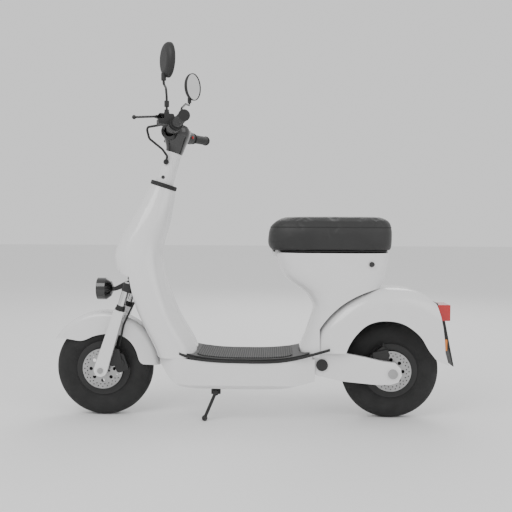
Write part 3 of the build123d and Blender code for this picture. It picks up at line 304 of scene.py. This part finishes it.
def bake(obj):
    # turns what the modifiers give into the plain mesh
    mesh = bpy.data.meshes.new_from_object(obj.evaluated_get(bpy.context.evaluated_depsgraph_get()))
    obj.modifiers.clear()
    obj.data = mesh


def ovalPoint(angle, front, rear, half, power):
    along = abs(cos(angle)) ** (2 / power) * (1 if cos(angle) >= 0 else -1)
    across = abs(sin(angle)) ** (2 / power) * (1 if sin(angle) >= 0 else -1)
    return (front + rear) / 2 + (rear - front) / 2 * along, half * across


def ringStack(levels, count):
    # closed skin through rings, each (z, front, rear, half, power)
    verts = []
    faces = []
    for z, front, rear, half, power in levels:
        for i in range(count):
            x, y = ovalPoint(2 * pi * i / count, front, rear, half, power)
            verts.append((x, y, z))
    for r in range(len(levels) - 1):
        for i in range(count):
            j = (i + 1) % count
            faces.append((r * count + i, r * count + j, (r + 1) * count + j, (r + 1) * count + i))
    faces.append(tuple(range(count))[::-1])
    faces.append(tuple((len(levels) - 1) * count + i for i in range(count)))
    return verts, faces


# saddle: foam under a stretched cover, inflated by cloth
low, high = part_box("saddle")
panLow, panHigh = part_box("seat_pan")
saddleLook = {"inset": 0.004, "voxel": 0.006, "pressure": 4.0, "frames": 20, "cap": 0.006, "power": 3.2,
              "stiffness": 30, "sides": 96, "panGap": 0.001, "pocketDepth": 0.004, "pocketTop": 0.63,
              "seamDrop": 0.034, "seamRadius": 0.0022, "seamPlaces": 120, "seamSunk": 0.35}
# each ring of the cover: shares of the height, the front, the rear and the half width
saddleShape = ((0.0, 0.035, 0.985, 0.93), (0.1, 0.012, 0.992, 0.97), (0.3, 0.004, 0.995, 1.0),
               (0.58, 0.012, 0.995, 0.99), (0.8, 0.035, 0.985, 0.94), (0.92, 0.075, 0.965, 0.86),
               (0.985, 0.15, 0.93, 0.7), (1.0, 0.3, 0.85, 0.42))


def makeSaddle(look):
    length = high[0] - low[0]
    tall = high[2] - low[2]
    half = (high[1] - low[1]) / 2 - look["inset"]
    inset = look["inset"]
    levels = []
    for z, front, rear, width in saddleShape:
        level = low[2] + inset / 2 + z * (tall - inset)
        ends = (low[0] + inset + front * length, low[0] - inset + rear * length)
        levels.append((level, ends[0], ends[1], half * width, look["power"]))
    verts, faces = ringStack(levels, look["sides"])
    obj = pieceFrom("saddleCover", verts, faces, finishes["leather"], None)
    remesh = obj.modifiers.new("remesh", "REMESH")
    remesh.mode = "VOXEL"
    remesh.voxel_size = look["voxel"]
    remesh.use_smooth_shade = True
    bake(obj)
    start = [v.co.copy() for v in obj.data.vertices]
    cloth = obj.modifiers.new("cloth", "CLOTH")
    cloth.settings.use_pressure = True
    cloth.settings.uniform_pressure_force = look["pressure"]
    cloth.settings.effector_weights.gravity = 0
    cloth.settings.tension_stiffness = look["stiffness"]
    cloth.settings.compression_stiffness = look["stiffness"]
    for f in range(1, look["frames"] + 1):
        bpy.context.scene.frame_set(f)
    moved = bpy.data.meshes.new_from_object(obj.evaluated_get(bpy.context.evaluated_depsgraph_get()))
    places = [v.co.copy() for v in moved.vertices]
    obj.modifiers.clear()
    bpy.context.scene.frame_set(1)
    for v, was, now in zip(obj.data.vertices, start, places):
        step = now - was
        if step.length > look["cap"]:
            step = step * (look["cap"] / step.length)
        v.co = was + step
    # the pan sits in a shallow pocket
    middle = (panLow[0] + panHigh[0]) / 2
    reach = (panHigh[0] - panLow[0]) / 2
    for v in obj.data.vertices:
        v.co.z = max(v.co.z, low[2])
        inPan = abs((v.co.x - middle) / reach) ** 3 + abs(v.co.y / panHigh[1]) ** 3 < 1.03
        if inPan and v.co.z < min(panHigh[2] + look["pocketDepth"], look["pocketTop"]):
            v.co.z = max(v.co.z, panHigh[2] - look["pocketDepth"] + look["panGap"])
    smooth = obj.modifiers.new("smooth", "SUBSURF")
    smooth.levels = 1
    smooth.render_levels = 1
    bake(obj)
    obj.data.shade_smooth()
    return obj


saddle = makeSaddle(saddleLook)
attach(saddle, "seat")
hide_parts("saddle")
print("saddle", len(saddle.data.vertices), "vertices")


def sweepRing(name, points, radius, sides, finish, body):
    # closed tube through points
    verts = []
    faces = []
    n = len(points)
    for i, p in enumerate(points):
        ahead = (points[(i + 1) % n] - points[i - 1]).normalized()
        out = ahead.cross(Vector((0, 0, 1))).normalized()
        up = out.cross(ahead)
        for k in range(sides):
            a = 2 * pi * k / sides
            verts.append(p + (out * cos(a) + up * sin(a)) * radius)
    for i in range(n):
        j = (i + 1) % n
        for k in range(sides):
            m = (k + 1) % sides
            faces.append((i * sides + k, i * sides + m, j * sides + m, j * sides + k))
    return pieceFrom(name, verts, faces, finish, body)


# the seam where the top panel meets the side panel follows the cover's own surface
seamLevel = high[2] - saddleLook["seamDrop"]
cover = saddle.evaluated_get(bpy.context.evaluated_depsgraph_get())
centre = Vector(((low[0] + high[0]) / 2, 0, seamLevel))
reach = 0.1
seam = []
for i in range(saddleLook["seamPlaces"]):
    angle = 2 * pi * i / saddleLook["seamPlaces"]
    x, y = ovalPoint(angle, low[0] - reach, high[0] + reach, high[1] + reach, 3.0)
    start = Vector((x, y, seamLevel))
    hit, place, normal, face = cover.ray_cast(start, (centre - start).normalized())
    if hit:
        seam.append(place - normal * saddleLook["seamRadius"] * saddleLook["seamSunk"])
sweepRing("saddlePiping", seam, saddleLook["seamRadius"], 10, finishes["rubber"], "seat")
print("piping through", len(seam), "places")


# bolt heads, one tree for all of them
def boltTree():
    tree = bpy.data.node_groups.new("bolt heads", "GeometryNodeTree")
    face = tree.interface
    face.new_socket("Geometry", in_out="INPUT", socket_type="NodeSocketGeometry")
    for name, value in (("Radius", 0.004), ("Height", 0.002), ("Sides", 6)):
        kind = "NodeSocketInt" if name == "Sides" else "NodeSocketFloat"
        face.new_socket(name, in_out="INPUT", socket_type=kind).default_value = value
    face.new_socket("Turn", in_out="INPUT", socket_type="NodeSocketVector")
    face.new_socket("Finish", in_out="INPUT", socket_type="NodeSocketMaterial")
    face.new_socket("Geometry", in_out="OUTPUT", socket_type="NodeSocketGeometry")
    new = tree.nodes.new
    given = new("NodeGroupInput")
    result = new("NodeGroupOutput")
    head = new("GeometryNodeMeshCylinder")
    washer = new("GeometryNodeMeshCylinder")
    washer.inputs["Vertices"].default_value = 20
    wide = new("ShaderNodeMath")
    wide.operation = "MULTIPLY"
    wide.inputs[1].default_value = 1.35
    thin = new("ShaderNodeMath")
    thin.operation = "MULTIPLY"
    thin.inputs[1].default_value = 0.3
    both = new("GeometryNodeJoinGeometry")
    place = new("GeometryNodeInstanceOnPoints")
    real = new("GeometryNodeRealizeInstances")
    paint = new("GeometryNodeSetMaterial")
    link = tree.links.new
    link(given.outputs["Radius"], head.inputs["Radius"])
    link(given.outputs["Height"], head.inputs["Depth"])
    link(given.outputs["Sides"], head.inputs["Vertices"])
    link(given.outputs["Radius"], wide.inputs[0])
    link(given.outputs["Height"], thin.inputs[0])
    link(wide.outputs[0], washer.inputs["Radius"])
    link(thin.outputs[0], washer.inputs["Depth"])
    link(head.outputs["Mesh"], both.inputs[0])
    link(washer.outputs["Mesh"], both.inputs[0])
    link(given.outputs["Geometry"], place.inputs["Points"])
    link(both.outputs[0], place.inputs["Instance"])
    link(given.outputs["Turn"], place.inputs["Rotation"])
    link(place.outputs[0], real.inputs[0])
    link(real.outputs[0], paint.inputs["Geometry"])
    link(given.outputs["Finish"], paint.inputs["Material"])
    link(paint.outputs[0], result.inputs[0])
    return tree


heads = boltTree()
bolts = {
    "frontDiscBolts": {"body": "front_wheel", "node": "front_brake_disc", "count": 5, "circle": 0.026, "side": -1,
                       "radius": 0.0038, "height": 0.003, "sides": 6},
    "rearDiscBolts": {"body": "rear_wheel", "node": "rear_brake_disc", "count": 5, "circle": 0.026, "side": -1,
                      "radius": 0.0038, "height": 0.003, "sides": 6},
}


def boltRing(name, look):
    a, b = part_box(look["node"])
    y = a[1] if look["side"] < 0 else b[1]
    places = []
    for i in range(look["count"]):
        turn = 2 * pi * i / look["count"]
        x = (a[0] + b[0]) / 2 + look["circle"] * cos(turn)
        z = (a[2] + b[2]) / 2 + look["circle"] * sin(turn)
        places.append((x, y, z))
    return placeBolts(name, places, look)


def placeBolts(name, places, look):
    # loose points in, finished heads out
    mesh = bpy.data.meshes.new(name)
    mesh.from_pydata(places, [], [])
    obj = bpy.data.objects.new(name, mesh)
    bpy.context.scene.collection.objects.link(obj)
    modifier = obj.modifiers.new("bolts", "NODES")
    modifier.node_group = heads
    names = {s.name: s.identifier for s in heads.interface.items_tree if s.in_out == "INPUT"}
    modifier[names["Radius"]] = look["radius"]
    modifier[names["Height"]] = look["height"]
    modifier[names["Sides"]] = look["sides"]
    modifier[names["Turn"]] = (look["side"] * -pi / 2, 0.0, 0.0)
    modifier[names["Finish"]] = finishes[look.get("finish", "steel")]
    bake(obj)
    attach(obj, look["body"])
    return obj


for name, look in bolts.items():
    boltRing(name, look)
print("bolt heads placed")


# headlight reflector behind the lens
lampLook = {"rings": 8, "sides": 40, "depth": 0.03, "rim": 0.004, "behindLens": 0.0015,
            "taper": 0.86, "curve": 0.7}


def makeReflector(look):
    a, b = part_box("headlight_lens")
    radius = (b[1] - a[1]) / 2 - look["rim"]
    y, z = (a[1] + b[1]) / 2, (a[2] + b[2]) / 2
    n = look["sides"]
    verts = []
    faces = []
    for ring in range(look["rings"]):
        share = ring / (look["rings"] - 1)
        away = radius * (1 - look["taper"] * share)
        x = b[0] + look["behindLens"] + look["depth"] * share ** look["curve"]
        for i in range(n):
            turn = 2 * pi * i / n
            verts.append((x, y + away * cos(turn), z + away * sin(turn)))
    for ring in range(look["rings"] - 1):
        for i in range(n):
            j = (i + 1) % n
            faces.append((ring * n + i, ring * n + j, (ring + 1) * n + j, (ring + 1) * n + i))
    faces.append(tuple((look["rings"] - 1) * n + i for i in range(n)))
    pieceFrom("lampReflector", verts, faces, finishes["chrome"], "headlight")


makeReflector(lampLook)
print("lamp done")


# floor, light, camera
def stagePiece(name, size):
    bpy.ops.mesh.primitive_plane_add(size=size, location=(0, 0, -0.0005))
    floor = bpy.context.object
    floor.name = name
    paper = Shader("floor", Roughness=0.9)
    paper.set("Base Color", paper.blend(paper.noise(0.5) * 0.2, shade(0.86), shade(0.8)))
    floor.data.materials.append(paper.mat)


stagePiece("floor", 40)

world = bpy.data.worlds.new("studio")
bpy.context.scene.world = world
world.use_nodes = True
sky = world.node_tree.nodes["Background"]
sky.inputs["Color"].default_value = (1, 1, 1, 1)
sky.inputs["Strength"].default_value = 0.95

lights = {
    "key": {"at": (-1.8, -2.6, 3.2), "size": 2.2, "power": 62},
    "fill": {"at": (2.6, -2.2, 2.0), "size": 2.6, "power": 24},
    "back": {"at": (0.6, 3.0, 2.8), "size": 2.4, "power": 40},
}
for name, look in lights.items():
    lamp = bpy.data.lights.new(name, "AREA")
    lamp.size = look["size"]
    lamp.energy = look["power"]
    obj = bpy.data.objects.new(name, lamp)
    bpy.context.scene.collection.objects.link(obj)
    obj.location = look["at"]
    aim = Vector((0, 0, 0.5)) - Vector(look["at"])
    obj.rotation_euler = aim.to_track_quat("-Z", "Y").to_euler()

cameraLook = {"at": (0.0749, -2.5105, 0.7101), "yaw": -1.524, "pitch": -2.685, "roll": 0.258,
              "lens": 47.83}
yaw, pitch, roll = (radians(cameraLook[k]) for k in ("yaw", "pitch", "roll"))
ahead = Vector((sin(yaw) * cos(pitch), cos(yaw) * cos(pitch), sin(pitch)))
right = Vector((cos(yaw), -sin(yaw), 0))
up = right.cross(ahead)
turnedRight = right * cos(roll) + up * sin(roll)
turnedUp = up * cos(roll) - right * sin(roll)
camera = bpy.data.cameras.new("camera")
camera.lens = cameraLook["lens"]
camera.sensor_width = 36
eye = bpy.data.objects.new("camera", camera)
bpy.context.scene.collection.objects.link(eye)
eye.matrix_world = Matrix((
    (turnedRight.x, turnedUp.x, -ahead.x, cameraLook["at"][0]),
    (turnedRight.y, turnedUp.y, -ahead.y, cameraLook["at"][1]),
    (turnedRight.z, turnedUp.z, -ahead.z, cameraLook["at"][2]),
    (0, 0, 0, 1),
))
bpy.context.scene.camera = eye
